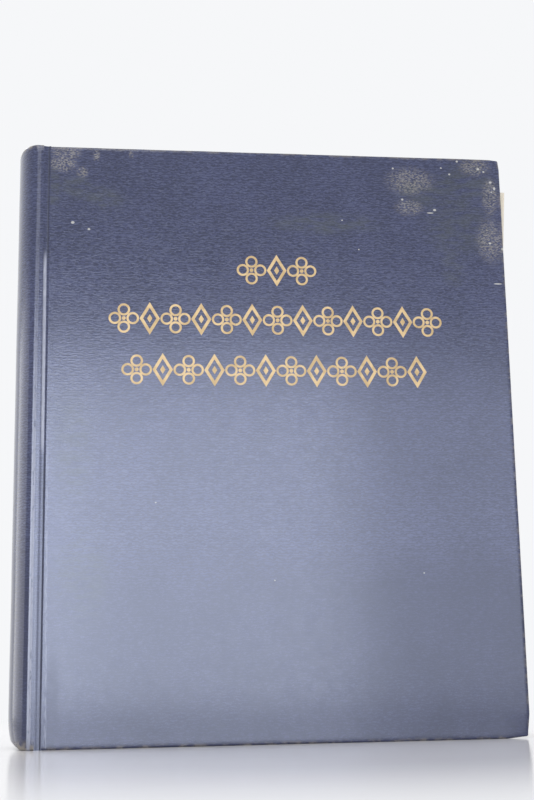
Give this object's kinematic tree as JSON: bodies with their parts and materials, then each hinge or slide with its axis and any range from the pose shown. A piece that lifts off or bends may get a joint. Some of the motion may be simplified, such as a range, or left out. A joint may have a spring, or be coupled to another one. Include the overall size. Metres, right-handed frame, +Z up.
{
  "type": "stamp album",
  "caption": "Screw-post stamp album with leather-grained boards, rounded spine, gilt ornament, turning stamp leaves and a loose sheet.",
  "frame": {"origin": "middle of the bounding box's bottom: the album stands upright on its tail", "axes": "+Z up along the spine, +X from the spine to the fore-edge, front cover facing -Y"},
  "size_m": [0.2608, 0.0511, 0.3056],
  "materials": {
    "book_cloth": "navy leather-grained cloth, satin",
    "hinge_cloth": "woven binding cloth, matt",
    "grey_board": "matt chipboard",
    "end_paper": "matt cream paper",
    "leaf_paper": "matt printed album paper",
    "glassine": "thin translucent glassine",
    "stamp_paper": "printed gummed paper",
    "gilt_foil": "worn stamped gilt foil",
    "plated_steel": "nickel-plated steel"
  },
  "bodies": {
    "spine": {"spine_cloth": "book_cloth", "spine_former": "grey_board", "spine_lining": "end_paper", "front_shoulder_strip": "grey_board", "back_shoulder_strip": "grey_board", "front_joint_cloth": "book_cloth", "back_joint_cloth": "book_cloth", "front_inner_hinge": "hinge_cloth", "back_inner_hinge": "hinge_cloth", "front_binding_bar": "plated_steel", "back_binding_bar": "plated_steel", "front_bar_rivets": "plated_steel", "back_bar_rivets": "plated_steel", "upper_post": "plated_steel", "lower_post": "plated_steel", "leaf_binding_margins": "leaf_paper", "guard_strips": "grey_board", "leaf_block_front": "leaf_paper", "leaf_block_back": "leaf_paper", "back_flyleaf": "end_paper"},
    "front_cover": {"front_board": "grey_board", "front_cover_cloth": "book_cloth", "front_pastedown": "end_paper", "front_gilt_ornament": "gilt_foil"},
    "back_cover": {"back_board": "grey_board", "back_cover_cloth": "book_cloth", "back_pastedown": "end_paper"},
    "upper_screw": {"upper_post_screw": "plated_steel"},
    "lower_screw": {"lower_post_screw": "plated_steel"},
    "front_fly": {"front_flyleaf": "end_paper"},
    "title_page": {"title_leaf": "leaf_paper"},
    "leaf_1": {"stamp_leaf_1": "leaf_paper", "glassine_leaf_1": "glassine", "stamps_leaf_1": "stamp_paper"},
    "leaf_2": {"stamp_leaf_2": "leaf_paper", "glassine_leaf_2": "glassine", "stamps_leaf_2": "stamp_paper"},
    "leaf_3": {"stamp_leaf_3": "leaf_paper", "glassine_leaf_3": "glassine", "stamps_leaf_3": "stamp_paper"},
    "leaf_4": {"stamp_leaf_4": "leaf_paper", "glassine_leaf_4": "glassine", "stamps_leaf_4": "stamp_paper"},
    "loose": {"loose_sheet": "leaf_paper"}
  },
  "joints": [
    {"name": "front_cover_hinge", "type": "hinge", "parent": "spine", "child": "front_cover", "pos_m": [-0.1149, -0.0258, 0], "axis": [0, 0, -1], "range_deg": [0, 180], "deforming": ["front_joint_cloth", "front_inner_hinge"]},
    {"name": "back_cover_hinge", "type": "hinge", "parent": "spine", "child": "back_cover", "pos_m": [-0.1149, 0.0258, 0], "axis": [0, 0, 1], "range_deg": [0, 180], "deforming": ["back_joint_cloth", "back_inner_hinge"]},
    {"name": "upper_screw_turn", "type": "hinge", "parent": "spine", "child": "upper_screw", "pos_m": [-0.1093, -0.0204, 0.2413], "axis": [0, -1, 0], "range_deg": [0, 1890]},
    {"name": "lower_screw_turn", "type": "hinge", "parent": "spine", "child": "lower_screw", "pos_m": [-0.1093, -0.0204, 0.0635], "axis": [0, -1, 0], "range_deg": [0, 1890]},
    {"name": "front_fly_turn", "type": "hinge", "parent": "spine", "child": "front_fly", "pos_m": [-0.0965, -0.01903, 0], "axis": [0, 0, -1], "range_deg": [0, 135]},
    {"name": "title_page_turn", "type": "hinge", "parent": "spine", "child": "title_page", "pos_m": [-0.0949, -0.01802, 0], "axis": [0, 0, -1], "range_deg": [0, 126]},
    {"name": "leaf_1_turn", "type": "hinge", "parent": "spine", "child": "leaf_1", "pos_m": [-0.0933, -0.01702, 0], "axis": [0, 0, -1], "range_deg": [0, 113.4]},
    {"name": "leaf_2_turn", "type": "hinge", "parent": "spine", "child": "leaf_2", "pos_m": [-0.0917, -0.01603, 0], "axis": [0, 0, -1], "range_deg": [0, 93.6]},
    {"name": "leaf_3_turn", "type": "hinge", "parent": "spine", "child": "leaf_3", "pos_m": [-0.0901, -0.01503, 0], "axis": [0, 0, -1], "range_deg": [0, 72]},
    {"name": "leaf_4_turn", "type": "hinge", "parent": "spine", "child": "leaf_4", "pos_m": [-0.0885, -0.01402, 0], "axis": [0, 0, -1], "range_deg": [0, 46.8]},
    {"name": "loose_sheet_slide", "type": "slide", "parent": "front_cover", "child": "loose", "axis": [1, 0, 0], "range_m": [0, 0.15]}
  ],
  "couplings": [
    {"joint": "front_fly_turn", "follows": "front_cover_hinge", "ratio": 0.75},
    {"joint": "title_page_turn", "follows": "front_cover_hinge", "ratio": 0.7},
    {"joint": "leaf_1_turn", "follows": "front_cover_hinge", "ratio": 0.63},
    {"joint": "leaf_2_turn", "follows": "front_cover_hinge", "ratio": 0.52},
    {"joint": "leaf_3_turn", "follows": "front_cover_hinge", "ratio": 0.4},
    {"joint": "leaf_4_turn", "follows": "front_cover_hinge", "ratio": 0.26}
  ]
}
